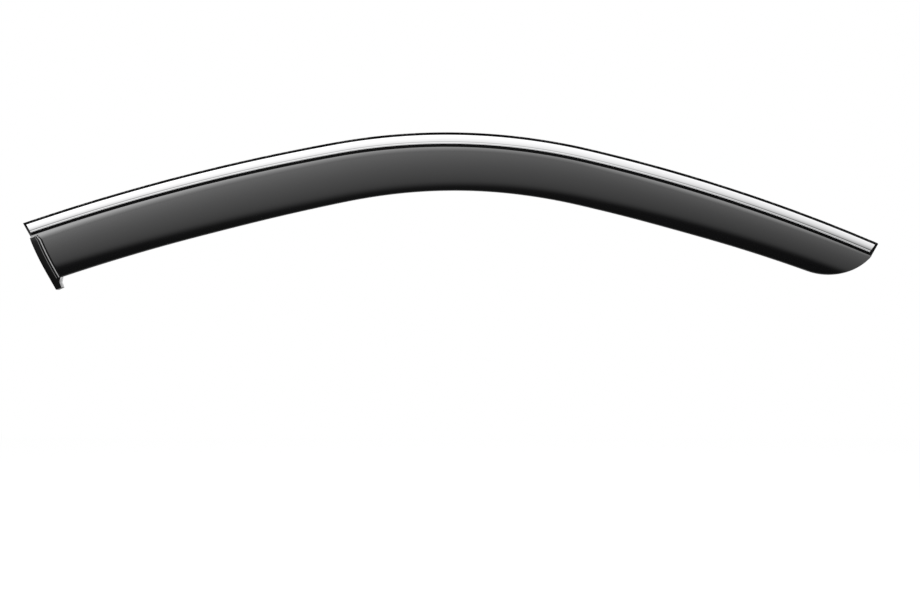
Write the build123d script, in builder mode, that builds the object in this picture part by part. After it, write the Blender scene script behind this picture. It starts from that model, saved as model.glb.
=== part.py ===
from build123d import *
import os
from itertools import accumulate
from math import atan, cos, degrees, radians, sin

# Window rain deflector for a right-hand front door, stuck to the door frame above the glass.
# A smoked acrylic moulding hangs from a flat flange and flares outward, so air and drips pass
# behind it. A bright formed strip lies in a seat along the flange, and a black clip caps the
# end at the door pillar. All lengths are millimetres and all angles are degrees.
# X runs along the door to the windscreen, -Y points out of the car and Z is up. The origin is
# on the door frame's face, behind the middle of the mounting tape at the crown of the upper edge.

# Upper edge seen square on: three tangent arcs, each with its radius and its turn.
REAR_RADIUS = 2255.0
REAR_TURN = 8.65
CROWN_RADIUS = 660.0
CROWN_TURN_REAR = 10.2
CROWN_TURN_FRONT = 13.1
FRONT_RADIUS = 1840.0
FRONT_TURN = 10.03
# Widths of the moulding, square to its upper edge, from the pillar to the nose. Each station is
# a share of the edge's length.
REAR_WIDTH = 67.3
REAR_QUARTER_WIDTH = 65.8
REAR_QUARTER_STATION = 0.25
MIDDLE_WIDTH = 60.9
MIDDLE_STATION = 0.5
FRONT_QUARTER_WIDTH = 59.5
FRONT_QUARTER_STATION = 0.75
NOSE_WIDTH = 54.7
NOSE_STATION = 0.92
LOWER_EDGE_SPANS = 12
# The two ends: how far each leans from square, and the steps of the nose.
REAR_RAKE = 10.8
FRONT_RAKE = 23.5
FRONT_END_LENGTH = 13.8
NOSE_STEP = 6.8
TIP_RADIUS = 0.8

# Section of the moulding: one wall that leaves the flange in a bend, flares and ends in an upright lip.
WALL = 2.6
BEND_DROP = 13.2
BEND_RADIUS = 4.0
REAR_STANDOFF = 21.0
NOSE_STANDOFF = 12.5
LIP = 8.0
LOWER_EDGE_CHAMFER = 0.6

# Seat for the bright strip, cut into the flange, with a rim above it and a groove below it.
RIM = 1.7
SEAT_DEPTH = 0.9
GROOVE = 2.2

# Bright strip: thin sheet formed to a face that leans out from a round shoulder and straightens in
# a short heel above a crease, with a bead of three arcs below it.
STRIP_SHEET = 0.45
STRIP_EDGE_HEIGHT = 0.9
STRIP_FACE_TILT = 26.0
STRIP_SHOULDER_RADIUS = 8.0
STRIP_SHOULDER_TURN = 11.0
STRIP_FACE_RADIUS = 55.0
STRIP_FACE_TURN = 7.0
STRIP_HEEL_RADIUS = 7.0
STRIP_HEEL_TURN = 8.0
STRIP_BEAD_TILT = 45.0
STRIP_BEAD_SIDE_RADIUS = 0.9
STRIP_BEAD_SIDE_TURN = 38.0
STRIP_BEAD_RADIUS = 1.4
STRIP_BEAD_TURN = 27.0
STRIP_CLEARANCE = 0.15
STRIP_TAPE_MARGIN = 1.2
BOND_GAP = 0.3

# Foam mounting tape on the back of the flange.
TAPE_THICKNESS = 1.1
TAPE_WIDTH = 8.0
TAPE_DROP = 2.5
TAPE_END_INSET = 5.0

# Pillar clip: a channel over the raked end, with a web that closes it and a tail below.
CLIP_DROP = 18.0
CLIP_WIDTH = 7.3
CLIP_WEB = 2.2
CLIP_LEG = 1.3
CLIP_CLEARANCE = 0.15
CLIP_DOOR_GAP = 1.0
CLIP_TAIL = 12.5
CLIP_TAIL_WIDTH = 5.4
CLIP_TAIL_DEPTH = 15.0

# Spare length that the sheet has before it is trimmed.
OVERRUN_TURN = 0.5
OVERRUN = 14.0

# Levels out from the door's face, and drops below the upper edge.
flange_back = TAPE_THICKNESS
flange_front = flange_back + WALL
seat_floor = flange_front - SEAT_DEPTH
strip_edge = seat_floor + STRIP_EDGE_HEIGHT
strip_top = RIM + STRIP_CLEARANCE
upper_edge_height = TAPE_DROP + TAPE_WIDTH / 2


def polar(angle):
    """Gives the unit vector at an angle from X in the plane of a sketch."""
    return Vector(1, 0).rotate(Axis.Z, angle)


# The front of the bright strip in its section, out and down: its face and its bead.
with BuildLine() as strip_face:
    face_start = polar(90 - STRIP_FACE_TILT)
    shoulder = JernArc((strip_edge, strip_top), face_start, STRIP_SHOULDER_RADIUS, STRIP_SHOULDER_TURN)
    middle = JernArc(shoulder @ 1, shoulder % 1, STRIP_FACE_RADIUS, STRIP_FACE_TURN)
    heel = JernArc(middle @ 1, middle % 1, STRIP_HEEL_RADIUS, STRIP_HEEL_TURN)
with BuildLine() as strip_bead:
    bead_start = polar(90 - STRIP_BEAD_TILT)
    upper_side = JernArc(heel @ 1, bead_start, STRIP_BEAD_SIDE_RADIUS, STRIP_BEAD_SIDE_TURN)
    top = JernArc(upper_side @ 1, upper_side % 1, STRIP_BEAD_RADIUS, STRIP_BEAD_TURN)
    lower_side = JernArc(top @ 1, top % 1, STRIP_BEAD_SIDE_RADIUS, STRIP_BEAD_SIDE_TURN)
strip_bottom = (lower_side @ 1).Y


def under_sheet(arc):
    """Gives the point under the lower end of an arc of the strip's face that the tape reaches."""
    return arc @ 1 + (arc % 1).rotate(Axis.Z, 90) * (STRIP_SHEET + BOND_GAP)


# Centres and joints of the three arcs, in the plane of the door.
rear_joint = 90 + CROWN_TURN_REAR
front_joint = 90 - CROWN_TURN_FRONT
crown_centre = Vector(0, upper_edge_height - CROWN_RADIUS)
rear_centre = crown_centre - polar(rear_joint) * (REAR_RADIUS - CROWN_RADIUS)
front_centre = crown_centre - polar(front_joint) * (FRONT_RADIUS - CROWN_RADIUS)
rear_end = rear_joint + REAR_TURN
front_end = front_joint - FRONT_TURN
rear_corner = rear_centre + polar(rear_end) * REAR_RADIUS
front_corner = front_centre + polar(front_end) * FRONT_RADIUS
rear_down = polar(rear_end + 180 + REAR_RAKE)
rear_in = polar(rear_end + 270 + REAR_RAKE)
front_down = polar(front_end + 180 - FRONT_RAKE)
front_out = polar(front_end + 270 - FRONT_RAKE)
rear_run = REAR_WIDTH / cos(radians(REAR_RAKE))
front_low = front_corner + front_down * FRONT_END_LENGTH
nose_top = front_low - Vector(0, NOSE_STEP)

# Planes of the two raked ends, facing away from the moulding.
DOOR = Plane.XZ
OUTWARD = DOOR.z_dir
rear_plane = Plane(DOOR.from_local_coords(rear_corner), OUTWARD, DOOR.from_local_coords(-rear_in))
front_plane = Plane(DOOR.from_local_coords(front_corner), OUTWARD, DOOR.from_local_coords(front_out))


def edge_arcs(drop, front_overrun=OVERRUN_TURN):
    """Draws the upper edge moved down by a drop, from past the pillar to past the nose."""
    rear_turn = REAR_TURN + OVERRUN_TURN
    front_turn = FRONT_TURN + front_overrun
    rear = CenterArc(rear_centre, REAR_RADIUS - drop, rear_joint + rear_turn, -rear_turn)
    CenterArc(crown_centre, CROWN_RADIUS - drop, rear_joint, front_joint - rear_joint)
    front = CenterArc(front_centre, FRONT_RADIUS - drop, front_joint, -front_turn)
    return rear @ 0, front @ 1


def band(upper_drop, lower_drop):
    """Gives the closed outline of a band between two drops below the upper edge."""
    with BuildLine() as outline:
        upper_rear, upper_front = edge_arcs(upper_drop)
        lower_rear, lower_front = edge_arcs(lower_drop)
        Line(upper_rear, lower_rear)
        Line(upper_front, lower_front)
    return outline.edges()


def cut_ends(inset):
    """Cuts the part along both raked ends, moved in by an inset."""
    split(bisect_by=rear_plane.offset(-inset), keep=Keep.BOTTOM)
    split(bisect_by=front_plane.offset(-inset), keep=Keep.BOTTOM)


def rear_point(inset, run):
    """Gives the point that lies in from the raked rear end and down along it."""
    return rear_corner + rear_in * inset + rear_down * run


with BuildLine() as flat_edge:
    edge_arcs(0)
with BuildLine(DOOR) as upper_edge:
    add(DOOR * flat_edge.line)
edge_path = upper_edge.wire()

# Stations along the upper edge, as shares of its length: the ends and the middle of each arc.
arc_ends = [0.0, *accumulate(edge.length / edge_path.length for edge in edge_path.edges())]
arc_middles = [(first + last) / 2 for first, last in zip(arc_ends, arc_ends[1:])]
stations = sorted(arc_ends + arc_middles)


def station(share):
    """Gives the plane square to the upper edge there, with its x outward and its y down."""
    return Plane(edge_path @ share, OUTWARD, edge_path % share)


named_widths = (
    (0.0, REAR_WIDTH),
    (REAR_QUARTER_STATION, REAR_QUARTER_WIDTH),
    (MIDDLE_STATION, MIDDLE_WIDTH),
    (FRONT_QUARTER_STATION, FRONT_QUARTER_WIDTH),
    (NOSE_STATION, NOSE_WIDTH),
)


def width_at(share):
    """Gives the width at a station, from the named widths on both sides of it."""
    for (first, first_width), (last, last_width) in zip(named_widths, named_widths[1:]):
        if share <= last:
            break
    return first_width + (last_width - first_width) * (share - first) / (last - first)


def lower_point(share, margin):
    """Gives the point of the lower edge at a station, moved down by a margin."""
    edge = flat_edge.wire()
    return edge @ share + (edge % share).rotate(Axis.Z, -90) * (width_at(share) + margin)


def flare(share):
    """Gives the flare of the section: its height, its standoff, its turn and its face radius."""
    height = REAR_WIDTH + (NOSE_WIDTH - REAR_WIDTH) * share - LIP
    standoff = REAR_STANDOFF + (NOSE_STANDOFF - REAR_STANDOFF) * share**2
    turn = 2 * atan((standoff - flange_front) / (height - BEND_DROP))
    face_radius = (height - BEND_DROP) / sin(turn) - BEND_RADIUS
    return height, standoff, degrees(turn), face_radius


def front_profile(share, grow):
    """Draws the front of the section from above the flange to below the lower edge."""
    height, standoff, turn, face_radius = flare(share)
    flange = Line((flange_front + grow, -OVERRUN), (flange_front + grow, BEND_DROP))
    bend = JernArc(flange @ 1, flange % 1, BEND_RADIUS - grow, -turn)
    face = JernArc(bend @ 1, bend % 1, face_radius + grow, turn)
    below = Line(face @ 1, (standoff + grow, REAR_WIDTH + OVERRUN))
    return flange @ 0, below @ 1


def back_profile(share, grow):
    """Draws the back of the section, a wall behind its front, in the same order."""
    height, standoff, turn, face_radius = flare(share)
    flange = Line((flange_back - grow, -OVERRUN), (flange_back - grow, BEND_DROP))
    bend = JernArc(flange @ 1, flange % 1, BEND_RADIUS + WALL + grow, -turn)
    face = JernArc(bend @ 1, bend % 1, face_radius - WALL - grow, turn)
    below = Line(face @ 1, (standoff - WALL - grow, REAR_WIDTH + OVERRUN))
    return flange @ 0, below @ 1


def wall_section(share, grow=0.0):
    """Gives the section of the flared wall at a station, grown on both its sides."""
    with BuildSketch(station(share)) as section:
        with BuildLine():
            front_top, front_bottom = front_profile(share, grow)
            back_top, back_bottom = back_profile(share, grow)
            Line(front_top, back_top)
            Line(front_bottom, back_bottom)
        make_face()
    return section.sketch


def space_section(share, profile, grow):
    """Gives the section between the door's face and one side of the flared wall."""
    with BuildSketch(station(share)) as section:
        with BuildLine():
            top, bottom = profile(share, grow)
            Polyline(top, (-OVERRUN, -OVERRUN), (-OVERRUN, REAR_WIDTH + OVERRUN), bottom)
        make_face()
    return section.sketch


def planform(margin=0.0):
    """Gives the outline square on, past the rear end, with the lower edge moved by a margin."""
    shares = [NOSE_STATION * index / LOWER_EDGE_SPANS for index in range(LOWER_EDGE_SPANS + 1)]
    with BuildLine() as outline:
        upper_rear, upper_front = edge_arcs(0, front_overrun=0)
        lower = Spline([lower_point(share, margin) for share in shares])
        TangentArc(lower @ 1, nose_top, tangent=lower % 1)
        Polyline(nose_top, front_low, upper_front)
        Line(upper_rear, lower @ 0)
    return outline.edges()


full_depth = REAR_STANDOFF + OVERRUN

os.makedirs("parts", exist_ok=True)

# The seat that the bright strip lies in, open along the groove below it.
with BuildPart() as strip_seat:
    with BuildSketch(DOOR.offset(seat_floor)):
        make_face(band(RIM, strip_bottom + GROOVE))
    extrude(amount=full_depth)
    cut_ends(RIM)

# The moulding: the flared wall trimmed to its planform, raked at the pillar and cut for the seat.
with BuildPart() as visor_body:
    sweep([wall_section(share) for share in stations], path=edge_path, multisection=True)
    with BuildSketch(DOOR) as trimmed:
        make_face(planform())
        fillet(trimmed.vertices().sort_by_distance(front_corner)[0], TIP_RADIUS)
    extrude(amount=full_depth, mode=Mode.INTERSECT)
    lower_rim = visor_body.faces().filter_by(GeomType.EXTRUSION)
    chamfer(lower_rim.edges().filter_by(Axis.Y, reverse=True), LOWER_EDGE_CHAMFER)
    split(bisect_by=rear_plane, keep=Keep.BOTTOM)
    with BuildSketch(DOOR):
        with BuildLine():
            Polyline(
                rear_point(-OVERRUN, CLIP_DROP - CLIP_CLEARANCE),
                rear_point(CLIP_WEB + CLIP_CLEARANCE, CLIP_DROP - CLIP_CLEARANCE),
                rear_point(CLIP_WEB + CLIP_CLEARANCE, rear_run + OVERRUN),
                rear_point(-OVERRUN, rear_run + OVERRUN),
                close=True,
            )
        make_face()
    extrude(amount=full_depth, mode=Mode.SUBTRACT)
    add(strip_seat.part, mode=Mode.SUBTRACT)

visor_body.part.label = "visor_body"
export_step(visor_body.part, "parts/visor_body.step")

# The bright strip: the face, the crease and the bead, with both edges turned back to the seat.
with BuildPart() as bright_strip:
    with BuildSketch(station(0)):
        with BuildLine():
            Line((seat_floor, strip_top), shoulder @ 0)
            add(strip_face.line)
            add(strip_bead.line)
            Line(lower_side @ 1, (seat_floor, strip_bottom))
            offset(amount=STRIP_SHEET, side=Side.LEFT)
        make_face()
    sweep(path=edge_path)
    cut_ends(RIM + STRIP_CLEARANCE)

bright_strip.part.label = "bright_strip"
export_step(bright_strip.part, "parts/bright_strip.step")

# The bonding tape under the strip's face, pressed to a wedge.
with BuildPart() as strip_tape:
    with BuildSketch(station(0)):
        with BuildLine():
            tape_top = Line(under_sheet(shoulder), under_sheet(heel))
            upper_foot = (seat_floor, (tape_top @ 0).Y)
            lower_foot = (seat_floor, (tape_top @ 1).Y)
            Polyline(tape_top @ 1, lower_foot, upper_foot, tape_top @ 0)
        make_face()
    sweep(path=edge_path)
    cut_ends(RIM + STRIP_TAPE_MARGIN)

strip_tape.part.label = "strip_tape"
export_step(strip_tape.part, "parts/strip_tape.step")

# The foam tape that holds the deflector to the door frame.
with BuildPart() as mounting_tape:
    with BuildSketch(DOOR):
        make_face(band(TAPE_DROP, TAPE_DROP + TAPE_WIDTH))
    extrude(amount=TAPE_THICKNESS)
    cut_ends(TAPE_END_INSET)

mounting_tape.part.label = "mounting_tape"
export_step(mounting_tape.part, "parts/mounting_tape.step")

# The clip has the moulding's section at its own middle, straight along the edge.
clip_middle = rear_point(CLIP_WIDTH / 2, (CLIP_DROP + rear_run) / 2)
clip_edge_point = rear_centre + (clip_middle - rear_centre).normalized() * REAR_RADIUS
clip_share = flat_edge.wire().param_at_point(clip_edge_point)
leg_grow = CLIP_CLEARANCE + CLIP_LEG

# The slot that the end of the moulding fills in the clip, and the hollow behind it.
with BuildPart() as clip_slot:
    extrude(wall_section(clip_share, CLIP_CLEARANCE), amount=rear_run, both=True)
    with BuildSketch(DOOR):
        make_face(planform(CLIP_CLEARANCE))
    extrude(amount=full_depth, mode=Mode.INTERSECT)
    split(bisect_by=rear_plane.offset(-CLIP_WEB), keep=Keep.BOTTOM)

with BuildPart() as clip_hollow:
    extrude(space_section(clip_share, back_profile, leg_grow), amount=rear_run, both=True)
    with BuildSketch(DOOR.offset(-OVERRUN)):
        make_face(planform(-CLIP_LEG))
    extrude(amount=full_depth, mode=Mode.INTERSECT)
    split(bisect_by=rear_plane.offset(-CLIP_WEB), keep=Keep.BOTTOM)

# The pillar clip: a body under the grown face, with a tail, less the slot and the hollow.
with BuildPart() as pillar_clip:
    with BuildSketch(DOOR.offset(CLIP_DOOR_GAP)):
        with BuildLine():
            Polyline(
                rear_point(0, CLIP_DROP),
                rear_point(CLIP_WIDTH, CLIP_DROP),
                rear_point(CLIP_WIDTH, rear_run),
                rear_point(0, rear_run),
                close=True,
            )
        make_face()
    extrude(amount=full_depth)
    with BuildSketch(DOOR.offset(REAR_STANDOFF + leg_grow - CLIP_TAIL_DEPTH)):
        with BuildLine():
            Polyline(
                rear_point(0, rear_run),
                rear_point(CLIP_WIDTH, rear_run),
                rear_point(CLIP_TAIL_WIDTH, rear_run + CLIP_TAIL),
                rear_point(0, rear_run + CLIP_TAIL),
                close=True,
            )
        make_face()
    extrude(amount=full_depth)
    cover = space_section(clip_share, front_profile, leg_grow)
    extrude(cover, amount=rear_run, both=True, mode=Mode.INTERSECT)
    add(clip_slot.part, mode=Mode.SUBTRACT)
    add(clip_hollow.part, mode=Mode.SUBTRACT)

pillar_clip.part.label = "pillar_clip"
export_step(pillar_clip.part, "parts/pillar_clip.step")
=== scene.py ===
"""Looks of a window rain deflector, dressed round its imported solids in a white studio."""

import logging
import math
from dataclasses import dataclass, field, replace
from enum import Enum
from typing import Any, ClassVar, Union

import bmesh
import bpy
from mathutils import Matrix, Vector


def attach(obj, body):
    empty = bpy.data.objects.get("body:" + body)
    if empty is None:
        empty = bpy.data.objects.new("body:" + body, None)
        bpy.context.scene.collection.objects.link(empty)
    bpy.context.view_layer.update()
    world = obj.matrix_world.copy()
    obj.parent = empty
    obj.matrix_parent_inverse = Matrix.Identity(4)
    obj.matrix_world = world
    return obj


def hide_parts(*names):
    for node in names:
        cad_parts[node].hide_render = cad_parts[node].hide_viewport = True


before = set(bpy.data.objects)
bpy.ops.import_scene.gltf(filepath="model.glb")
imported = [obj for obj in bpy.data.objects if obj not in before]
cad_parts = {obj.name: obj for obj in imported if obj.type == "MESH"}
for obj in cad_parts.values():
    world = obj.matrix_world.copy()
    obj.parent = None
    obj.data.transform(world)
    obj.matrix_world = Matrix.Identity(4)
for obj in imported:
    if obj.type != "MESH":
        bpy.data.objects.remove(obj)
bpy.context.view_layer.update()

log = logging.getLogger("rain_deflector")

Value = Union["Sock", float, tuple]
Colour = tuple[float, float, float]
Pairs = tuple[tuple[float, float], ...]
Vert = bmesh.types.BMVert
Edge = bmesh.types.BMEdge
# A column of the moulding: its distance from the nearer end, and True for the nose end.
Column = tuple[float, bool]

# Mean value of a noise.
MEAN = 0.5


class Slot(Enum):
    """Material slots of the record."""

    SMOKED_ACRYLIC = "smoked_acrylic"
    BRIGHT_TRIM = "bright_trim"
    BONDING_TAPE = "bonding_tape"
    FOAM_TAPE = "foam_tape"
    BLACK_CLIP = "black_clip"


class Sock:
    """An output of a shader node that takes part in Python expressions."""

    def __init__(self, graph: "Graph", socket: Any) -> None:
        """Keeps the socket and the graph that it belongs to."""
        self.graph = graph
        self.socket = socket

    def of(self, name: str) -> "Sock":
        """Gives another output of the same node by its name."""
        return Sock(self.graph, self.socket.node.outputs[name])

    def _math(self, operation: str, first: Value, second: Value) -> "Sock":
        """Adds a Math node with two values."""
        return self.graph.node("ShaderNodeMath", {"operation": operation}, {0: first, 1: second})

    def __add__(self, other: Value) -> "Sock":
        """Adds a value."""
        return self._math("ADD", self, other)

    def __radd__(self, other: Value) -> "Sock":
        """Adds to a value."""
        return self._math("ADD", other, self)

    def __sub__(self, other: Value) -> "Sock":
        """Takes a value off."""
        return self._math("SUBTRACT", self, other)

    def __rsub__(self, other: Value) -> "Sock":
        """Is taken off a value."""
        return self._math("SUBTRACT", other, self)

    def __mul__(self, other: Value) -> "Sock":
        """Multiplies by a value."""
        return self._math("MULTIPLY", self, other)

    def __rmul__(self, other: Value) -> "Sock":
        """Multiplies a value."""
        return self._math("MULTIPLY", other, self)

    def __gt__(self, other: Value) -> "Sock":
        """Is 1 where the value is greater than another one."""
        return self._math("GREATER_THAN", self, other)

    def __lt__(self, other: Value) -> "Sock":
        """Is 1 where the value is less than another one, the reflected form of greater than."""
        return self._math("LESS_THAN", self, other)

    def beyond(self, start: float) -> "Sock":
        """Gives how far the value lies past a start, and 0 before it."""
        return self._math("MAXIMUM", self - start, 0.0)


class Graph:
    """A node tree that is built from calls and expressions."""

    def __init__(self, tree: bpy.types.NodeTree) -> None:
        """Starts from an empty tree."""
        tree.nodes.clear()
        self.tree = tree

    def node(self, kind: str, settings: dict | None = None, inputs: dict | None = None) -> Sock:
        """Adds one node.

        Args:
            kind: The node's type.
            settings: Its properties, and "stops" for the stops of a ramp.
            inputs: Values or sockets by the name or the number of an input.

        Returns:
            The node's first output that is in use.
        """
        made = self.tree.nodes.new(kind)
        for name, value in (settings or {}).items():
            if name == "stops":
                self._set_stops(made.color_ramp, value)
            else:
                setattr(made, name, value)
        for name, value in (inputs or {}).items():
            if isinstance(value, Sock):
                self.tree.links.new(value.socket, made.inputs[name])
            else:
                made.inputs[name].default_value = value
        return Sock(self, next((output for output in made.outputs if output.enabled), None))

    @staticmethod
    def _set_stops(ramp: bpy.types.ColorRamp, stops: Pairs) -> None:
        """Gives a ramp its grey stops.

        Args:
            ramp: The ramp of a node.
            stops: Pairs of a position and a grey level.
        """
        while len(ramp.elements) < len(stops):
            ramp.elements.new(1.0)
        for element, (position, level) in zip(ramp.elements, stops):
            element.position = position
            element.color = (level, level, level, 1.0)

    def mix(self, factor: Value, first: Value, second: Value) -> Sock:
        """Mixes two colours, the first one at a factor of 0 and the second one at 1."""
        return self.node("ShaderNodeMix", {"data_type": "RGBA"}, {0: factor, 6: first, 7: second})


def shade(colour: Colour, factor: float = 1.0) -> tuple[float, float, float, float]:
    """Gives a colour with its alpha, made lighter or darker by a factor."""
    return (*(min(1.0, level * factor) for level in colour), 1.0)


def tones(where: Sock, colour: Colour, factor: float) -> Sock:
    """Mixes a colour with a lighter or darker tone of itself."""
    return where.graph.mix(where, shade(colour), shade(colour, factor))


@dataclass(frozen=True)
class Grain:
    """A noise: cells for each metre, finer layers, and how far it is drawn out along the door."""

    scale: float
    detail: float = 2.0
    along: float = 1.0

    def on(self, place: Sock) -> Sock:
        """Adds the noise.

        Args:
            place: The point on the piece.

        Returns:
            The noise's value.
        """
        drawn = {"Vector": place, "Scale": (1.0 / self.along, 1.0, 1.0)}
        point = place.graph.node("ShaderNodeMapping", {}, drawn)
        inputs = {"Vector": point, "Scale": self.scale, "Detail": self.detail}
        return place.graph.node("ShaderNodeTexNoise", {}, inputs)


@dataclass(frozen=True)
class Cells:
    """A pattern of round cells, given for each metre."""

    scale: float

    def on(self, place: Sock) -> Sock:
        """Adds the cells and gives the distance from the middle of the nearest one."""
        inputs = {"Vector": place, "Scale": self.scale}
        return place.graph.node("ShaderNodeTexVoronoi", {}, inputs)


@dataclass(frozen=True)
class Relief:
    """A bump: its strength and the distance between its lowest and its highest point."""

    strength: float
    distance: float

    def of(self, height: Sock) -> Sock:
        """Turns a height into a normal."""
        inputs = {"Strength": self.strength, "Distance": self.distance, "Height": height}
        return height.graph.node("ShaderNodeBump", {}, inputs)


@dataclass(frozen=True)
class Finish:
    """A finish with a procedural material that reads the piece's own coordinates."""

    slot: Slot
    colour: Colour
    roughness: float

    def material(self) -> bpy.types.Material:
        """Makes the material from the pattern of the finish.

        Returns:
            The material, named for its slot.
        """
        made = bpy.data.materials.new(self.slot.value)
        made.use_nodes = True
        graph = Graph(made.node_tree)
        inputs = self.pattern(graph.node("ShaderNodeTexCoord").of("Object"))
        shader = graph.node("ShaderNodeBsdfPrincipled", {}, inputs)
        graph.node("ShaderNodeOutputMaterial", {}, {"Surface": shader})
        return made

    def pattern(self, place: Sock) -> dict[str, Value]:
        """Gives the shader's values and sockets at a point on the piece."""
        raise NotImplementedError


@dataclass(frozen=True)
class SmokedAcrylic(Finish):
    """Dark polished acrylic with the faint flow and haze of a moulding."""

    refraction: float = 1.49
    lighter: float = 1.6
    haze: float = 0.05
    fine_haze: float = 0.015
    patches: Grain = Grain(14.0, 3.0)
    specks: Grain = Grain(420.0)
    ripple: Grain = Grain(9.0, 1.0, along=3.0)
    flow: Relief = Relief(0.02, 0.002)

    def pattern(self, place: Sock) -> dict[str, Value]:
        """Gives a deep colour, patchy haze and long shallow ripples.

        Args:
            place: The point on the piece.

        Returns:
            Values and sockets by the shader's input.
        """
        patches = self.patches.on(place)
        haze = self.haze * (patches - MEAN) + self.fine_haze * (self.specks.on(place) - MEAN)
        return {
            "Base Color": tones(patches, self.colour, self.lighter),
            "Roughness": self.roughness + haze,
            "IOR": self.refraction,
            "Normal": self.flow.of(self.ripple.on(place)),
        }


@dataclass(frozen=True)
class BrightTrim(Finish):
    """Bright formed sheet with fine rolling marks along its length."""

    duller: float = 0.93
    grain: float = 0.05
    patchiness: float = 0.02
    marks: Grain = Grain(2600.0, 3.0, along=60.0)
    patches: Grain = Grain(25.0, 3.0)

    def pattern(self, place: Sock) -> dict[str, Value]:
        """Gives a bright metal with drawn-out marks and a few dull patches.

        Args:
            place: The point on the piece.

        Returns:
            Values and sockets by the shader's input.
        """
        marks = self.marks.on(place)
        dullness = self.grain * (marks - MEAN) + self.patchiness * (self.patches.on(place) - MEAN)
        return {
            "Base Color": tones(marks, self.colour, self.duller),
            "Metallic": 1.0,
            "Roughness": self.roughness + dullness,
        }


@dataclass(frozen=True)
class BlackClip(Finish):
    """Black moulded plastic with a fine grain, and pale edges painted on as highlights."""

    # Colour of the highlights painted on the clip's marked edges and top faces.
    edge: Colour = (0.4, 0.4, 0.4)
    lighter: float = 1.5
    gloss: float = 0.03
    grain: float = 0.08
    patchiness: float = 0.04
    marks: Grain = Grain(3200.0)
    patches: Grain = Grain(60.0)
    relief: Relief = Relief(0.08, 0.0002)

    def pattern(self, place: Sock) -> dict[str, Value]:
        """Gives a satin black with the grain of a tool, and pale highlights painted on the marked
        edges and top faces.

        Args:
            place: The point on the piece.

        Returns:
            Values and sockets by the shader's input.
        """
        # Mask of the faces where a highlight is painted in the edge colour.
        pale = place.graph.node("ShaderNodeAttribute", {"attribute_name": Clip.PAINTED_HIGHLIGHT}).of("Fac")
        marks = self.marks.on(place)
        patches = self.patches.on(place)
        unevenness = self.grain * (marks - MEAN) + self.patchiness * (patches - MEAN)
        black = tones(patches, self.colour, self.lighter)
        return {
            "Base Color": place.graph.mix(pale, black, shade(self.edge)),
            "Roughness": self.roughness + unevenness,
            "Specular IOR Level": self.gloss,
            "Normal": self.relief.of(marks),
        }


@dataclass(frozen=True)
class FoamTape(Finish):
    """Grey foam with closed cells, and a red release film on its door side."""

    lighter: float = 1.5
    film: Colour = (0.55, 0.02, 0.015)
    film_darker: float = 0.8
    film_depth: float = 0.00012
    film_roughness: float = 0.25
    film_creasing: float = 0.15
    cells: Cells = Cells(2600.0)
    creases: Grain = Grain(90.0, 3.0, along=2.0)
    relief: Relief = Relief(0.25, 0.0003)

    def pattern(self, place: Sock) -> dict[str, Value]:
        """Gives foam cells at the cut edges and a smooth film on the door side.

        Args:
            place: The point on the piece.

        Returns:
            Values and sockets by the shader's input.
        """
        cells = self.cells.on(place)
        creases = self.creases.on(place)
        depth = place.graph.node("ShaderNodeSeparateXYZ", {}, {0: place}).of("Y")
        covered = depth > -self.film_depth
        foam = tones(cells, self.colour, self.lighter)
        red = tones(creases, self.film, self.film_darker)
        smooth = self.film_roughness + self.film_creasing * creases
        return {
            "Base Color": place.graph.mix(covered, foam, red),
            "Roughness": covered * smooth + (1.0 - covered) * self.roughness,
            "Normal": self.relief.of(covered * creases + (1.0 - covered) * cells),
        }


@dataclass(frozen=True)
class BondingTape(Finish):
    """Pale bonding tape with a slightly mottled face."""

    lighter: float = 1.2
    unevenness: float = 0.2
    mottle: Grain = Grain(180.0, 3.0)
    bubbles: Cells = Cells(900.0)
    relief: Relief = Relief(0.15, 0.0002)

    def pattern(self, place: Sock) -> dict[str, Value]:
        """Gives a pale mottled face with small bubbles.

        Args:
            place: The point on the piece.

        Returns:
            Values and sockets by the shader's input.
        """
        mottle = self.mottle.on(place)
        return {
            "Base Color": tones(mottle, self.colour, self.lighter),
            "Roughness": self.roughness + self.unevenness * (mottle - MEAN),
            "Normal": self.relief.of(self.bubbles.on(place)),
        }


def polar(angle: float) -> Vector:
    """Gives the unit vector at an angle in degrees from the door's length."""
    return Vector((math.cos(math.radians(angle)), math.sin(math.radians(angle))))


def turned(way: Vector) -> Vector:
    """Turns a direction in the plane of the door by a quarter."""
    return Vector((-way.y, way.x))


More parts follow.
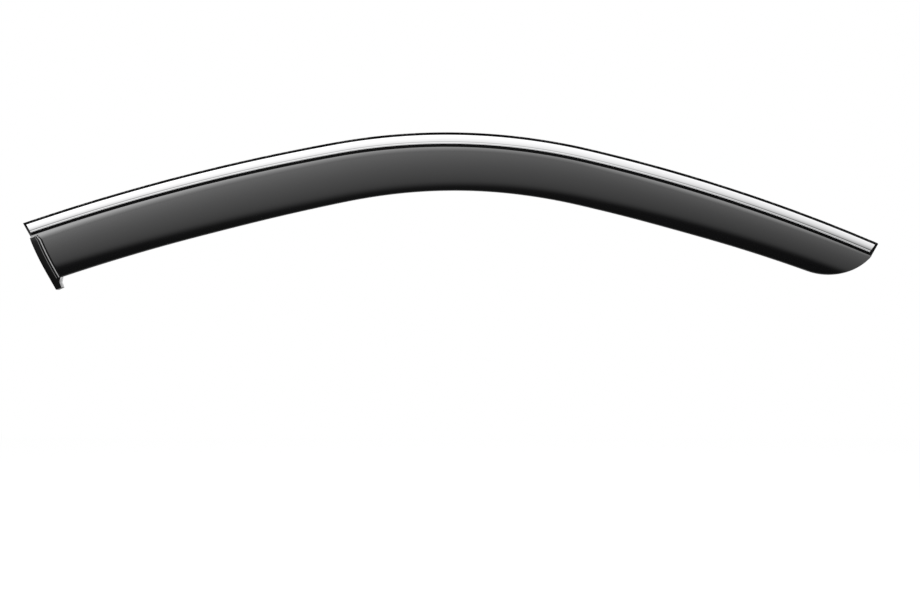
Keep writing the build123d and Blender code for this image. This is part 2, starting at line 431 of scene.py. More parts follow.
@dataclass(frozen=True)
class DoorLine:
    """Upper edge on the door, in three tangent arcs from the pillar to the nose, and both ends."""

    rear_radius: float = 2.255
    rear_turn: float = 8.65
    crown_radius: float = 0.66
    crown_turn_rear: float = 10.2
    crown_turn_front: float = 13.1
    front_radius: float = 1.84
    front_turn: float = 10.03
    spare_turn: float = 0.5
    height: float = 0.00647
    rear_rake: float = 10.8
    front_rake: float = 14.0
    front_end: float = 0.0131
    nose_step: float = 0.0032

    @property
    def rear_joint(self) -> float:
        """Angle where the rear arc meets the crown."""
        return 90.0 + self.crown_turn_rear

    @property
    def front_joint(self) -> float:
        """Angle where the crown meets the front arc."""
        return 90.0 - self.crown_turn_front

    def arcs(self) -> list[tuple[Vector, float, float, float]]:
        """Lists the three arcs from the pillar to the nose, with their spare ends.

        Returns:
            Each arc's centre, its radius, its first angle and its length.
        """
        crown = Vector((0.0, self.height - self.crown_radius))
        rear = crown - polar(self.rear_joint) * (self.rear_radius - self.crown_radius)
        front = crown - polar(self.front_joint) * (self.front_radius - self.crown_radius)
        rear_turn = self.rear_turn + self.spare_turn
        crown_turn = self.crown_turn_rear + self.crown_turn_front
        front_turn = self.front_turn + self.spare_turn
        turns = (
            (rear, self.rear_radius, self.rear_joint + rear_turn, rear_turn),
            (crown, self.crown_radius, self.rear_joint, crown_turn),
            (front, self.front_radius, self.front_joint, front_turn),
        )
        return [(at, size, first, math.radians(turn) * size) for at, size, first, turn in turns]

    def length(self) -> float:
        """Gives the length of the edge with its spare ends."""
        return sum(arc[3] for arc in self.arcs())

    def point(self, along: float, drop: float) -> Vector:
        """Finds a point in the plane of the door.

        Args:
            along: Distance along the upper edge from its spare rear end.
            drop: Distance below the edge, square to it.

        Returns:
            The point's place along the door and its height.
        """
        arcs = self.arcs()
        for centre, radius, first, length in arcs[:-1]:
            if along <= length:
                break
            along -= length
        else:
            centre, radius, first, _ = arcs[-1]
        return centre + polar(first - math.degrees(along / radius)) * (radius - drop)

    def place(self, along: float, drop: float, level: float) -> Vector:
        """Gives a point in space that stands a level out from the door."""
        flat = self.point(along, drop)
        return Vector((flat.x, -level, flat.y))

    def crossing(self, front: bool, start: Vector, way: Vector, drop: float) -> float:
        """Finds where a straight end crosses the arc at a drop.

        Args:
            front: True at the nose and False at the pillar.
            start: A point of the end.
            way: The direction of the end, downward.
            drop: The drop below the upper edge.

        Returns:
            The distance along the upper edge.
        """
        arcs = self.arcs()
        centre, radius, first, _ = arcs[-1] if front else arcs[0]
        before = sum(arc[3] for arc in arcs[:-1]) if front else 0.0
        offset = start - centre
        half = offset.dot(way)
        run = -half - math.sqrt(half * half - offset.length_squared + (radius - drop) ** 2)
        hit = offset + way * run
        angle = math.degrees(math.atan2(hit.y, hit.x))
        return before + math.radians(first - angle) * radius

    @property
    def rear_corner(self) -> Vector:
        """Upper corner at the pillar."""
        return self.point(math.radians(self.spare_turn) * self.rear_radius, 0.0)

    @property
    def front_corner(self) -> Vector:
        """Upper corner at the nose."""
        return self.point(self.length() - math.radians(self.spare_turn) * self.front_radius, 0.0)

    @property
    def rear_down(self) -> Vector:
        """Direction of the raked end at the pillar."""
        return polar(self.rear_joint + self.rear_turn + 180.0 + self.rear_rake)

    @property
    def front_down(self) -> Vector:
        """Direction of the raked end at the nose."""
        return polar(self.front_joint - self.front_turn + 180.0 - self.front_rake)

    @property
    def nose_top(self) -> Vector:
        """Upper point of the nose's curve, under the step."""
        return self.front_corner + self.front_down * self.front_end - Vector((0.0, self.nose_step))

    def rear_end(self, drop: float, inset: float = 0.0) -> float:
        """Gives where the pillar end lies along the edge at a drop, moved in by an inset."""
        start = self.rear_corner + turned(self.rear_down) * inset
        return self.crossing(False, start, self.rear_down, drop)

    def front_end_at(self, drop: float) -> float:
        """Gives where the nose end lies along the edge at a drop, raked or under it on the step."""
        raked = self.crossing(True, self.front_corner, self.front_down, drop)
        return max(raked, self.crossing(True, self.nose_top, Vector((0.0, -1.0)), drop))


def link(name: str, data: bpy.types.ID) -> bpy.types.Object:
    """Puts a new object into the scene.

    Args:
        name: The object's name.
        data: Its mesh, camera or light.

    Returns:
        The object.
    """
    made = bpy.data.objects.new(name, data)
    bpy.context.scene.collection.objects.link(made)
    return made


@dataclass
class Piece:
    """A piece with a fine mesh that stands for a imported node."""

    # Angle in degrees past which an edge stays sharp, and segments of a rounded edge.
    CREASE: ClassVar[float] = 38.0
    SEGMENTS: ClassVar[int] = 3
    # Distances within which vertices are merged, in a drawn mesh and in a packed one.
    WELD: ClassVar[float] = 1e-7
    PACKED_WELD: ClassVar[float] = 2e-6

    name: str
    node: str
    mesh: bmesh.types.BMesh = field(init=False, repr=False)

    def shape(self) -> None:
        """Fills the piece's mesh."""
        raise NotImplementedError

    def build(self, finish: Finish) -> None:
        """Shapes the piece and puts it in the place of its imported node.

        Args:
            finish: The finish of the piece.
        """
        self.mesh = bmesh.new()
        self.shape()
        self.face_out()
        for face in self.mesh.faces:
            face.smooth = True
        data = bpy.data.meshes.new(self.name)
        self.mesh.to_mesh(data)
        self.mesh.free()
        data.set_sharp_from_angle(angle=math.radians(self.CREASE))
        data.materials.append(finish.material())
        piece = link(self.name, data)
        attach(piece, "root")
        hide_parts(self.node)
        log.info("%s made with %d faces in %s", self.name, len(data.polygons), finish.slot.value)

    def take_packed(self) -> None:
        """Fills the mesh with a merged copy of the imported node's mesh."""
        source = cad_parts[self.node]
        self.mesh.from_mesh(source.data)
        bmesh.ops.transform(self.mesh, matrix=source.matrix_world, verts=self.mesh.verts)
        self.merge(self.PACKED_WELD)

    def merge(self, distance: float) -> None:
        """Merges vertices that lie within a distance."""
        bmesh.ops.remove_doubles(self.mesh, verts=self.mesh.verts, dist=distance)

    def face_out(self) -> None:
        """Turns the faces outward."""
        bmesh.ops.recalc_face_normals(self.mesh, faces=self.mesh.faces)

    def round_off(self, edges: list[Edge], radius: float) -> None:
        """Rounds edges.

        Args:
            edges: The edges to round.
            radius: How far the rounding reaches from each edge.
        """
        bmesh.ops.bevel(
            self.mesh, geom=edges, offset=radius, offset_type="OFFSET",
            affect="EDGES", segments=self.SEGMENTS, profile=0.5, material=-1,
        )

    def divide(self, point: Vector, way: Vector, clear: bool = False) -> None:
        """Divides the faces along a plane that stands square on the door.

        Args:
            point: A point of the plane, in the plane of the door.
            way: Direction square to the plane, in the plane of the door.
            clear: True to take away what lies beyond the plane.
        """
        bmesh.ops.bisect_plane(
            self.mesh, geom=self.mesh.verts[:] + self.mesh.edges[:] + self.mesh.faces[:],
            plane_co=(point.x, 0.0, point.y), plane_no=(way.x, 0.0, way.y), clear_outer=clear,
        )


@dataclass
class Moulding(Piece):
    """The flared moulding: a flange with the strip's seat, a bend, a curved face and a lip."""

    # Rows of points down the front: the upper edge, the rim's foot and the groove's end.
    UPPER_ROW: ClassVar[int] = 0
    RIM_ROW: ClassVar[int] = 1
    GROOVE_ROW: ClassVar[int] = 4

    line: DoorLine
    # Section: the wall, the bend under the flange, the flare and the lip.
    wall: float = 0.0026
    flange_back: float = 0.0011
    bend_drop: float = 0.0138
    bend_radius: float = 0.0022
    rear_standoff: float = 0.021
    nose_standoff: float = 0.0125
    lip: float = 0.0085
    lip_hollow: float = 0.0062
    hollow_skew: float = 0.66
    # The strip's seat.
    rim: float = 0.0023
    seat_floor: float = 0.0026
    groove_end: float = 0.0152
    # Widths at shares of the upper edge, the spans of the lower edge, and a step to its tangent.
    widths: Pairs = ((0.0, 0.0686), (0.25, 0.0675), (0.5, 0.0622), (0.75, 0.0608), (0.92, 0.0562))
    lower_spans: int = 12
    tangent_step: float = 0.002
    # The ends: the rounded tip, and the set-back under the clip.
    tip_radius: float = 0.00112
    tip_steps: int = 5
    clip_drop: float = 0.01785
    clip_inset: float = 0.00235
    # Rounded edges.
    upper_round: float = 0.0001
    rim_round: float = 0.0001
    groove_round: float = 0.0003
    lip_round: float = 0.0007
    back_round: float = 0.0002
    # The mesh: its columns follow an end as far as a hold, and relax over a length after it.
    end_columns: tuple[float, ...] = (0.0, 0.001, 0.003, 0.005, 0.008, 0.012)
    column_step: float = 0.003
    hold: float = 0.012
    relax: float = 0.16
    face_rows: int = 44
    row_growth: float = 1.5
    # The search for the lower edge: its reach in widths and how often it halves.
    search_reach: float = 1.2
    halvings: int = 40

    @property
    def flange_front(self) -> float:
        """Level of the flange's front."""
        return self.flange_back + self.wall

    def blend(self, distance: float) -> float:
        """Gives how closely a column follows an end, from 1 beside it to 0 far away."""
        share = min(1.0, max(0.0, (distance - self.hold) / self.relax))
        return 1.0 - share * share * (3.0 - 2.0 * share)

    def along(self, column: Column, drop: float, inset: float = 0.0) -> float:
        """Finds where a column lies at a drop.

        Args:
            column: The column.
            drop: Distance below the upper edge.
            inset: How far the pillar end is moved in at that drop.

        Returns:
            The distance along the upper edge.
        """
        distance, at_nose = column
        if at_nose:
            end = self.line.front_end_at(0.0)
            return end - distance + self.blend(distance) * (self.line.front_end_at(drop) - end)
        end = self.line.rear_end(0.0)
        shift = self.line.rear_end(drop, inset) - end
        return end + distance + self.blend(distance) * shift

    def columns(self) -> list[Column]:
        """Lists the columns from the pillar to the nose.

        Returns:
            The columns beside each end, and even ones between them.
        """
        half = (self.line.front_end_at(0.0) - self.line.rear_end(0.0)) / 2
        last = self.end_columns[-1]
        count = round((half - last) / self.column_step)
        inner = [last + (half - last) * index / count for index in range(1, count + 1)]
        rear = [(distance, False) for distance in [*self.end_columns, *inner]]
        front = [(distance, True) for distance in [*self.end_columns, *inner[:-1]]]
        return rear + front[::-1]

    def grid(self, rows: int, columns: int) -> list[list[Vert]]:
        """Fills the mesh with a flat grid.

        Args:
            rows: Number of vertices down a column.
            columns: Number of columns.

        Returns:
            The vertices by column and row.
        """
        counts = {"x_segments": columns - 1, "y_segments": rows - 1}
        made = bmesh.ops.create_grid(self.mesh, size=1.0, **counts)
        order = sorted(made["verts"], key=lambda vert: (round(vert.co.x, 6), round(vert.co.y, 6)))
        return [order[index * rows : (index + 1) * rows] for index in range(columns)]

    def share(self, along: float) -> float:
        """Gives a place along the upper edge as a share of its length."""
        return along / self.line.length()

    def named_width(self, share: float) -> float:
        """Gives the width on the straight line between the named widths beside a station.

        Args:
            share: Station along the upper edge.

        Returns:
            The width.
        """
        for (first, low), (last, high) in zip(self.widths, self.widths[1:]):
            if share <= last:
                break
        return low + (high - low) * (share - first) / (last - first)

    def width(self, share: float) -> float:
        """Gives the width on a smooth curve through the spans of the lower edge.

        Args:
            share: Station along the upper edge.

        Returns:
            The width.
        """
        step = self.widths[-1][0] / self.lower_spans
        index = min(max(int(share / step), 0), self.lower_spans - 1)
        t = share / step - index
        w0, w1, w2, w3 = (self.named_width((index + offset) * step) for offset in (-1, 0, 1, 2))
        square = 2 * w0 - 5 * w1 + 4 * w2 - w3
        cube = 3 * w1 - w0 - 3 * w2 + w3
        return (2 * w1 + (w2 - w0) * t + square * t**2 + cube * t**3) / 2

    def level(self, share: float, drop: float, back: bool) -> float:
        """Finds how far out the wall stands.

        Args:
            share: Station along the upper edge.
            drop: Drop below the upper edge.
            back: True for the back of the wall.

        Returns:
            The level out from the door.
        """
        skewed = max(0.0, share) ** self.hollow_skew
        lip = self.lip - self.lip_hollow * (4 * skewed * (1.0 - skewed)) ** 2
        height = self.widths[0][1] + (self.widths[-1][1] - self.widths[0][1]) * share - lip
        standoff = self.rear_standoff + (self.nose_standoff - self.rear_standoff) * share**2
        turn = 2 * math.atan((standoff - self.flange_front) / (height - self.bend_drop))
        total = (height - self.bend_drop) / math.sin(turn)
        inner = self.bend_radius + (self.wall if back else 0.0)
        outer = total - inner
        base = self.flange_back if back else self.flange_front
        down = drop - self.bend_drop
        if down <= 0.0:
            return base
        if down <= inner * math.sin(turn):
            return base + inner * (1.0 - math.sqrt(1.0 - (down / inner) ** 2))
        tilt = math.sin(turn) - (down - inner * math.sin(turn)) / outer
        start = base + inner * (1.0 - math.cos(turn))
        if tilt <= 0.0:
            return start + outer * (1.0 - math.cos(turn))
        return start + outer * (math.sqrt(1.0 - tilt * tilt) - math.cos(turn))

    def nose_circle(self) -> tuple[Vector, float]:
        """Finds the nose's curve, which leaves the lower edge smoothly.

        Returns:
            The curve's centre and its radius.
        """
        end = self.widths[-1][0]
        shares = (end, end - self.tangent_step)
        length = self.line.length()
        last, before = (self.line.point(share * length, self.width(share)) for share in shares)
        square = turned((last - before).normalized())
        chord = self.line.nose_top - last
        radius = chord.length_squared / (2 * chord.dot(square))
        return last + square * radius, radius

    def lower_drop(self, column: Column) -> float:
        """Finds the drop of the lower edge in a column by halving.

        Args:
            column: The column.

        Returns:
            The drop below the upper edge.
        """
        centre, radius = self.nose_circle()
        low, high = self.groove_end, self.widths[0][1] * self.search_reach
        for _ in range(self.halvings):
            middle = (low + high) / 2
            along = self.along(column, middle, self.clip_inset)
            share = self.share(along)
            if share <= self.widths[-1][0]:
                inside = middle <= self.width(share)
            else:
                inside = (self.line.point(along, middle) - centre).length <= radius
            low, high = (middle, high) if inside else (low, middle)
        return low

    @property
    def tip_angle(self) -> float:
        """Angle between the upper edge and the raked end at the nose, in radians."""
        return math.radians(90.0 - self.line.front_rake)

    def tip_columns(self) -> list[Column]:
        """Lists the columns that round the tip.

        Returns:
            The columns, from the nose end inward.
        """
        full = math.pi - self.tip_angle
        turns = [full * index / self.tip_steps for index in range(self.tip_steps + 1)]
        bows = [self.tip_radius * (1.0 - math.cos(turn)) for turn in turns]
        return [(bow / math.sin(self.tip_angle), True) for bow in bows]

    def upper_drop(self, column: Column) -> float:
        """Finds the drop of the upper edge in a column, which the rounded tip lowers.

        Args:
            column: The column.

        Returns:
            The drop, 0 away from the tip.
        """
        distance, at_nose = column
        reach = self.tip_radius / math.tan(self.tip_angle / 2)
        if not at_nose or distance >= reach:
            return 0.0
        inward = self.tip_radius - distance * math.sin(self.tip_angle)
        side = math.sqrt(self.tip_radius**2 - inward**2)
        fall = reach - side - distance * math.cos(self.tip_angle)
        return max(0.0, fall * math.sin(self.tip_angle))

    def column_points(self, column: Column, seated: bool) -> list[Vector]:
        """Lists the points round the section in a column.

        Args:
            column: The column.
            seated: True where the strip's seat is cut.

        Returns:
            Points from the flange's upper front edge down the front and up the back.
        """
        upper, lower = self.upper_drop(column), self.lower_drop(column)
        floor = self.seat_floor if seated else None
        drops: list[tuple[float, float | None, bool]] = [
            (upper, None, False),
            (self.rim, None, False),
            (self.rim, floor, False),
            (self.groove_end, floor, False),
            (self.groove_end, None, False),
        ]
        run = lower - self.groove_end
        shares = [(row / self.face_rows) ** self.row_growth for row in range(1, self.face_rows + 1)]
        face = [self.groove_end + run * share for share in shares]
        back = [*reversed(face), self.bend_drop, self.bend_drop / 2, upper]
        drops += [(drop, None, False) for drop in face]
        drops += [(drop, None, True) for drop in back]
        drops.append((upper, None, False))
        points = []
        for drop, level, behind in drops:
            inset = self.clip_inset if drop > self.clip_drop else 0.0
            along = self.along(column, drop, inset)
            out = self.level(self.share(along), drop, behind) if level is None else level
            points.append(self.line.place(along, drop, out))
        return points

    def shape(self) -> None:
        """Makes the moulding with rounded edges and closed ends."""
        rear_rim = (self.rim / math.cos(math.radians(self.line.rear_rake)), False)
        front_rim = (self.rim / math.cos(math.radians(self.line.front_rake)), True)
        inner = [column for column in self.columns() if column[0] > max(rear_rim[0], front_rim[0])]
        runs = (
            ([(0.0, False), rear_rim], False),
            ([rear_rim, *inner, front_rim], True),
            ([front_rim, *reversed(self.tip_columns())], False),
        )
        rings = [self.column_points(column, seated) for run, seated in runs for column in run]
        verts = self.grid(len(rings[0]), len(rings))
        for column, ring in zip(verts, rings):
            for vert, point in zip(column, ring):
                vert.co = point
        self.soften(verts)
        open_edges = [edge for edge in self.mesh.edges if edge.is_boundary]
        bmesh.ops.holes_fill(self.mesh, edges=open_edges)

    def soften(self, verts: list[list[Vert]]) -> None:
        """Closes the seam along the upper edge and rounds the long edges.

        Args:
            verts: The vertices by column and row.
        """
        lip_row = self.GROOVE_ROW + self.face_rows
        soft = {
            self.RIM_ROW: self.rim_round,
            self.GROOVE_ROW: self.groove_round,
            lip_row: self.lip_round,
            lip_row + 1: self.lip_round,
            self.UPPER_ROW: self.upper_round,
            len(verts[0]) - 2: self.back_round,
        }
        pairs = list(zip(verts, verts[1:]))
        chains = {row: [self.edge_between(a[row], b[row]) for a, b in pairs] for row in soft}
        self.merge(self.WELD)
        for row, radius in soft.items():
            edges = [edge for edge in chains[row] if edge is not None and edge.is_valid]
            self.round_off(edges, radius)

    @staticmethod
    def edge_between(first: Vert, second: Vert) -> Edge | None:
        """Finds the edge that joins two vertices."""
        return next((edge for edge in first.link_edges if edge.other_vert(first) is second), None)


@dataclass
class Strip(Piece):
    """The bright strip: sheet with a leaning face, a crease and a bead, along the door line."""

    CREASE: ClassVar[float] = 30.0

    line: DoorLine
    sheet: float = 0.00045
    top: float = 0.0025
    foot: float = 0.0026
    edge: float = 0.0032
    inset: float = 0.0024
    # Tilts of the first tangents, and arcs by their radius and turn, with angles in degrees.
    face_tilt: float = 18.0
    face: Pairs = ((0.008, 8.0), (0.063, 5.0), (0.0245, 3.5))
    bead_tilt: float = 11.0
    bead: Pairs = ((0.006, 10.0), (0.0006, 30.0), (0.0005, 40.0))
    arc_steps: int = 6
    step: float = 0.004

    def shape(self) -> None:
        """Draws the section by spins, sweeps it along the three arcs and cuts both ends."""
        self.draw_section()
        self.sweep()
        self.cut(self.line.rear_corner, -turned(self.line.rear_down))
        self.cut(self.line.front_corner, turned(self.line.front_down))
        self.merge(self.WELD)
        self.face_out()
        if sum(face.normal.y * face.calc_area() for face in self.mesh.faces) > 0.0:
            bmesh.ops.reverse_faces(self.mesh, faces=self.mesh.faces)
        bmesh.ops.solidify(self.mesh, geom=self.mesh.faces[:], thickness=self.sheet)

    def draw_section(self) -> None:
        """Draws the section at the crown from its upper foot to its lower one."""
        along = Vector((1.0, 0.0, 0.0))
        start = (0.0, -self.foot, self.line.height - self.top)
        last = bmesh.ops.create_vert(self.mesh, co=start)["vert"][0]
        last = self.extend(last, self.foot - self.edge)
        for tilt, arcs in ((self.face_tilt, self.face), (self.bead_tilt, self.bead)):
            for radius, turn in arcs:
                lean = math.radians(tilt)
                centre = last.co + radius * Vector((0.0, math.cos(lean), -math.sin(lean)))
                last = self.spun([last], centre, along, turn, self.arc_steps)[-1]
                tilt -= turn
        self.extend(last, -self.foot - last.co.y)

    def extend(self, vert: Vert, depth: float) -> Vert:
        """Adds a straight edge toward the door to the chain.

        Args:
            vert: The end of the chain.
            depth: The edge's length, negative away from the door.

        Returns:
            The new end.
        """
        made = bmesh.ops.extrude_vert_indiv(self.mesh, verts=[vert])["verts"][0]
        made.co.y += depth
        return made

    def spun(self, geom: list, centre: Vector, axis: Vector, turn: float, steps: int) -> list:
        """Spins vertices and edges about an axis.

        Args:
            geom: The vertices and edges to spin.
            centre: A point of the axis.
            axis: The axis.
            turn: The turn in degrees.
            steps: How many steps it takes.

        Returns:
            The vertices and edges at the end of the spin.
        """
        way = {"cent": centre, "axis": axis, "angle": math.radians(turn)}
        return bmesh.ops.spin(self.mesh, geom=geom, steps=steps, **way)["geom_last"]

    def sweep(self) -> None:
        """Turns the section back to the spare rear end and spins it along the three arcs."""
        across = Vector((0.0, 1.0, 0.0))
        spins = []
        for flat, radius, _, length in self.line.arcs():
            centre = Vector((flat.x, 0.0, flat.y))
            spins.append((centre, math.degrees(length / radius), round(length / self.step)))
        for centre, turn in ((spins[1][0], self.line.crown_turn_rear), spins[0][:2]):
            back = Matrix.Rotation(math.radians(-turn), 3, across)
            bmesh.ops.rotate(self.mesh, verts=self.mesh.verts[:], cent=centre, matrix=back)
        geom = self.mesh.verts[:] + self.mesh.edges[:]
        for centre, turn, steps in spins:
            geom = self.spun(geom, centre, across, turn, steps)

    def cut(self, corner: Vector, out: Vector) -> None:
        """Cuts the mesh along the raked end at a corner, moved in by the strip's inset."""
        self.divide(corner - out * self.inset, out, clear=True)


@dataclass
class PressedTape(Piece):
    """The bonding tape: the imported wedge, pressed under the strip."""

    packed_floor: float = 0.0028
    floor: float = 0.0026
    press: float = 0.45

    def shape(self) -> None:
        """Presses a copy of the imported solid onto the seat."""
        self.take_packed()
        for vert in self.mesh.verts:
            vert.co.y = -self.floor + (vert.co.y + self.packed_floor) * self.press


@dataclass(frozen=True)
class Step:
    """A step in the clip's front: its slope's start and width, its fall, and how strong the
    highlight painted on its slope is.
    """

    inset: float
    slope: float
    fall: float
    pale: float


@dataclass
class Clip(Piece):
    """The pillar clip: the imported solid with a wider, stepped front and rounded edges."""

    # Name of the face attribute that marks where highlights are painted on the clip.
    PAINTED_HIGHLIGHT: ClassVar[str] = "pale_edge"

    moulding: Moulding
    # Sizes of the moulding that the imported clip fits.
    packed_bend_drop: float = 0.0132
    packed_bend_radius: float = 0.004
    packed_lip: float = 0.008
    packed_widths: Pairs = ((0.0, 0.0673), (0.92, 0.0547))
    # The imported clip: its width, its web and the leg over the moulding's face.
    width: float = 0.0073
    web: float = 0.0022
    leg: float = 0.0013
    # The front's widths by their distance down the raked end, and the start of the tail.
    top_run: float = 0.018
    top_width: float = 0.0073
    top_margin: float = 0.004
    full_run: float = 0.025
    full_width: float = 0.0105
    tail_run: float = 0.0701
    tail_margin: float = 0.0007
    swell: float = 0.001
    steps: tuple[Step, ...] = (
        Step(0.0043, 0.00025, 0.0003, 0.45),
        Step(0.0058, 0.0005, 0.00045, 1.0),
    )
    # Rounded edges, and the angles in degrees of a corner and of a facet.
    top_round: float = 0.0011
    front_round: float = 0.0005
    other_round: float = 0.0003
    corner: float = 35.0
    facet: float = 0.5
    # Parts of a face's normal that tell which way it looks or leans.
    looks_front: float = 0.6
    looks_in: float = 0.6
    looks_up: float = 0.7
    leans_front: float = 0.15
    leans_in: float = 0.3

    def shape(self) -> None:
        """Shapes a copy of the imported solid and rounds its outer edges."""
        self.take_packed()
        mesh, limit = self.mesh, math.radians(self.facet)
        bmesh.ops.dissolve_limit(mesh, angle_limit=limit, verts=mesh.verts, edges=mesh.edges)
        self.face_out()
        self.follow()
        self.face_out()
        self.round_off([edge for edge in self.corners(True) if self.is_top(edge)], self.top_round)
        for front, radius in ((True, self.front_round), (False, self.other_round)):
            self.round_off(self.corners(front), radius)
        self.cut_steps()
        self.paint_highlights()
        self.widen()

    def corners(self, front: bool) -> list[Edge]:
        """Lists the outer corners that border the clip's front, or the other ones."""
        found = [edge for edge in self.mesh.edges if self.is_corner(edge)]
        return [edge for edge in found if self.is_front(edge) == front]

    def is_corner(self, edge: Edge) -> bool:
        """Tells whether an edge is an outer corner of the solid."""
        outer = edge.is_manifold and edge.is_convex
        return outer and edge.calc_face_angle() > math.radians(self.corner)

    def is_front(self, edge: Edge) -> bool:
        """Tells whether an edge borders the front of the clip."""
        return any(face.normal.y < -self.looks_front for face in edge.link_faces)

    def is_top(self, edge: Edge) -> bool:
        """Tells whether an edge lies across the clip's top."""
        end = self.full_run - self.top_margin
        return all(self.local(vert.co)[1] < end for vert in edge.verts)

    @property
    def inward(self) -> Vector:
        """Direction in from the raked end, square to it."""
        return turned(self.moulding.line.rear_down)

    def local(self, point: Vector) -> tuple[float, float]:
        """Gives how far a point lies in from the raked end and down along it."""
        offset = Vector((point.x, point.z)) - self.moulding.line.rear_corner
        return offset.dot(self.inward), offset.dot(self.moulding.line.rear_down)

    def drop(self, point: Vector) -> float:
        """Gives how far a point lies below the upper edge."""
        centre, radius, _, _ = self.moulding.line.arcs()[0]
        return radius - (Vector((point.x, point.z)) - centre).length

    def follow(self) -> None:
        """Moves the clip in and out with the bend and the lip of the fine moulding."""
        bend = {"bend_drop": self.packed_bend_drop, "bend_radius": self.packed_bend_radius}
        packed = replace(self.moulding, lip=self.packed_lip, widths=self.packed_widths, **bend)
        for vert in self.mesh.verts:
            drop = self.drop(vert.co)
            vert.co.y -= self.moulding.level(0.0, drop, False) - packed.level(0.0, drop, False)

    def height(self, vert: Vert) -> float:
        """Gives how far a vertex stands out from the moulding's face."""
        return -vert.co.y - self.moulding.level(0.0, self.drop(vert.co), False)

    def split(self, way: Vector, distance: float) -> None:
        """Splits the faces at a distance from the upper corner at the pillar."""
        self.divide(self.moulding.line.rear_corner + way * distance, way)

    def cut_steps(self) -> None:
        """Lowers the front in steps beside a rib and along the inner edge."""
        for run in (self.full_run, self.tail_run):
            self.split(self.moulding.line.rear_down, run)
        for step in self.steps:
            self.split(self.inward, step.inset)
            self.split(self.inward, step.inset + step.slope)
            for vert in self.mesh.verts:
                if self.local(vert.co)[0] > step.inset + step.slope / 2:
                    vert.co.y += step.fall * max(0.0, self.height(vert)) / self.leg

    def paint_highlights(self) -> None:
        """Paints highlights: marks the slopes of the steps, the tail's inner side and the faces on
        top as pale, where light would catch them.
        """
        self.mesh.normal_update()
        pale = self.mesh.faces.layers.float.new(self.PAINTED_HIGHLIGHT)
        for face in self.mesh.faces:
            inset, run = self.local(face.calc_center_median())
            flat, out = Vector((face.normal.x, face.normal.z)), -face.normal.y
            side, fall = flat.dot(self.inward), flat.dot(self.moulding.line.rear_down)
            # Faces on top and the tail's inner side get a full painted highlight, and the steps'
            # slopes a weaker one.
            inner = side > self.looks_in and out < self.leans_front
            if fall < -self.looks_up or (inner and run > self.tail_run):
                face[pale] = 1.0
            elif side > self.leans_in and out > self.leans_front and run < self.tail_run:
                for step in reversed(self.steps):
                    if step.inset <= inset <= step.inset + step.slope:
                        face[pale] = step.pale

    def widen(self) -> None:
        """Swells the outer side, and widens the front along the upper edge from its narrow top."""
        line = self.moulding.line
        along = polar(line.rear_joint + line.rear_turn - 90.0)
        for vert in self.mesh.verts:
            inset, run = self.local(vert.co)
            shift = Vector((0.0, 0.0))
            if inset < self.web / 2:
                shift = Vector((-self.swell, 0.0))
            elif inset > self.web and run < self.tail_run + self.tail_margin:
                share = (run - self.top_run) / (self.full_run - self.top_run)
                share = min(1.0, max(0.0, share))
                width = self.top_width + (self.full_width - self.top_width) * share
                reach = (inset - self.web) / (self.width - self.web)
                shift = along * ((width - self.width) * reach)
            vert.co += Vector((shift.x, 0.0, shift.y))


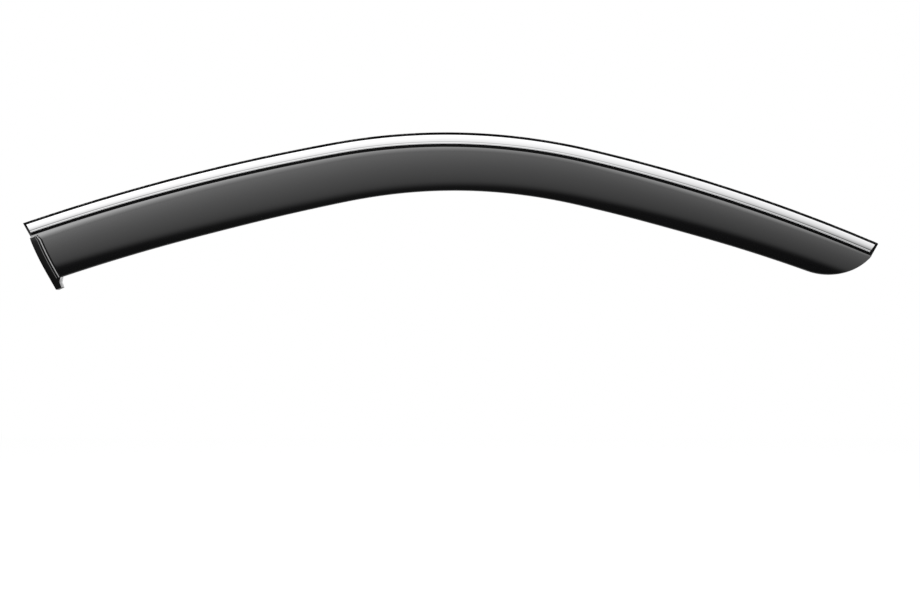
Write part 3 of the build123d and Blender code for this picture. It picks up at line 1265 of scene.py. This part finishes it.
@dataclass
class Studio:
    """White studio: a camera square to the door, a pale floor and a tent that is dark in front."""

    camera_place: tuple[float, float, float] = (0.01426, -1.810, -0.177)
    lens: float = 67.1
    sensor: float = 36.0
    floor_level: float = -0.56
    floor_size: float = 6.4
    floor_grey: float = 0.8
    floor_glow: float = 0.265
    lamp_power: float = 9.0
    lamp_size: tuple[float, float] = (1.8, 1.2)
    lamp_place: tuple[float, float, float] = (0.0, -0.25, 1.5)
    # The tent's own light, and the softbox that gloss sees, which changes toward the nose.
    tent: float = 0.9
    softbox: float = 8.0
    stretch: float = 0.8
    stretch_from: float = 0.25
    dip: float = 0.075
    dip_from: float = 0.12
    dip_to: float = 0.38
    fade: float = 0.35
    # Grey levels of the softbox, from 0 straight ahead over 0.5 overhead to 1 behind the part.
    sweep: Pairs = (
        (0.0, 0.008), (0.02, 0.01), (0.035, 0.018), (0.05, 0.05), (0.062, 0.08), (0.08, 0.12),
        (0.1, 0.14), (0.15, 0.17), (0.225, 0.21), (0.365, 0.3), (0.373, 0.31), (0.385, 0.27),
        (0.405, 0.42), (0.426, 0.6), (0.445, 0.8), (0.66, 0.8), (0.72, 0.2),
    )

    def build(self) -> None:
        """Makes the camera, the world, the floor and the lamp."""
        self.make_camera()
        self.make_world()
        self.make_floor()
        self.make_lamp()

    def make_camera(self) -> None:
        """Sets a level camera that looks straight at the door."""
        data = bpy.data.cameras.new("camera")
        data.lens = self.lens
        data.sensor_width = self.sensor
        data.sensor_fit = "HORIZONTAL"
        data.dof.use_dof = False
        camera = link("camera", data)
        camera.location = self.camera_place
        camera.rotation_euler = (math.pi / 2, 0.0, 0.0)
        bpy.context.scene.camera = camera

    def make_world(self) -> None:
        """Makes a white tent whose gloss is bright overhead and dark in front."""
        world = bpy.data.worlds.new("light_tent")
        world.use_nodes = True
        world.cycles.sampling_method = "NONE"
        bpy.context.scene.world = world
        graph = Graph(world.node_tree)
        path = graph.node("ShaderNodeLightPath")
        seen = path.of("Is Camera Ray") + path.of("Is Transmission Ray")
        gloss = path.of("Is Glossy Ray")
        generated = graph.node("ShaderNodeTexCoord").of("Generated")
        direction = graph.node("ShaderNodeSeparateXYZ", {}, {0: generated})
        side = direction.of("X")
        rise = {0: direction.of("Z"), 1: 0.0 - direction.of("Y")}
        turn = graph.node("ShaderNodeMath", {"operation": "ARCTAN2"}, rise)
        stretched = 1.0 + self.stretch * side.beyond(self.stretch_from)
        level = turn * stretched * (1.0 / math.pi)
        dip = self.dip * side.beyond(self.dip_from)
        share = level - dip * (1.0 - level * (1.0 / self.dip_to))
        overhead = graph.node("ShaderNodeValToRGB", {"stops": self.sweep}, {0: share})
        studio = overhead * self.softbox * (1.0 - self.fade * side)
        strength = self.tent + gloss * (studio - self.tent) + seen * (1.0 - self.tent)
        light = {"Color": shade((1.0, 1.0, 1.0)), "Strength": strength}
        shader = graph.node("ShaderNodeBackground", {}, light)
        graph.node("ShaderNodeOutputWorld", {}, {"Surface": shader})

    def make_floor(self) -> None:
        """Makes a pale floor that keeps a soft shadow and looks white."""
        half = self.floor_size / 2
        mesh = bpy.data.meshes.new("floor")
        corners = [(-half, -half), (half, -half), (half, half), (-half, half)]
        mesh.from_pydata([(x, y, self.floor_level) for x, y in corners], [], [(0, 1, 2, 3)])
        floor = link("floor", mesh)
        made = bpy.data.materials.new("pale_floor")
        made.use_nodes = True
        graph = Graph(made.node_tree)
        path = graph.node("ShaderNodeLightPath")
        seen = path.of("Is Camera Ray") + path.of("Is Glossy Ray") + path.of("Is Transmission Ray")
        pale = shade((1.0, 1.0, 1.0), self.floor_grey)
        diffuse = graph.node("ShaderNodeBsdfDiffuse", {}, {"Color": pale})
        glow = graph.node("ShaderNodeEmission", {}, {"Strength": self.floor_glow * seen})
        shader = graph.node("ShaderNodeAddShader", {}, {0: diffuse, 1: glow})
        graph.node("ShaderNodeOutputMaterial", {}, {"Surface": shader})
        mesh.materials.append(made)

    def make_lamp(self) -> None:
        """Makes a wide soft lamp overhead for the shadow."""
        data = bpy.data.lights.new("overhead_lamp", "AREA")
        data.shape = "RECTANGLE"
        data.size, data.size_y = self.lamp_size
        data.energy = self.lamp_power
        lamp = link("overhead_lamp", data)
        lamp.location = self.lamp_place
        lamp.visible_glossy = False


def dress(node: str, finish: Finish) -> None:
    """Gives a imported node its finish.

    Args:
        node: The node's name.
        finish: The finish that its slots take.
    """
    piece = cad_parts[node]
    material = finish.material()
    for slot in piece.material_slots:
        slot.material = material
    log.info("%s dressed in %s", node, finish.slot.value)


def main() -> None:
    """Builds the studio and dresses every piece."""
    logging.basicConfig(level=logging.INFO, format="%(message)s")
    bpy.context.scene.view_settings.view_transform = "Standard"
    smoked = SmokedAcrylic(Slot.SMOKED_ACRYLIC, colour=(0.0018, 0.0018, 0.002), roughness=0.1)
    bright = BrightTrim(Slot.BRIGHT_TRIM, colour=(0.85, 0.85, 0.855), roughness=0.07)
    bonding = BondingTape(Slot.BONDING_TAPE, colour=(0.42, 0.42, 0.4), roughness=0.5)
    foam = FoamTape(Slot.FOAM_TAPE, colour=(0.05, 0.05, 0.052), roughness=0.85)
    black = BlackClip(Slot.BLACK_CLIP, colour=(0.005, 0.005, 0.005), roughness=0.2)
    Studio().build()
    line = DoorLine()
    moulding = Moulding("moulding", "visor_body", line)
    moulding.build(smoked)
    Strip("strip", "bright_strip", line).build(bright)
    PressedTape("pressed_tape", "strip_tape").build(bonding)
    dress("mounting_tape", foam)
    Clip("clip", "pillar_clip", moulding).build(black)


if __name__ == "__main__":
    main()
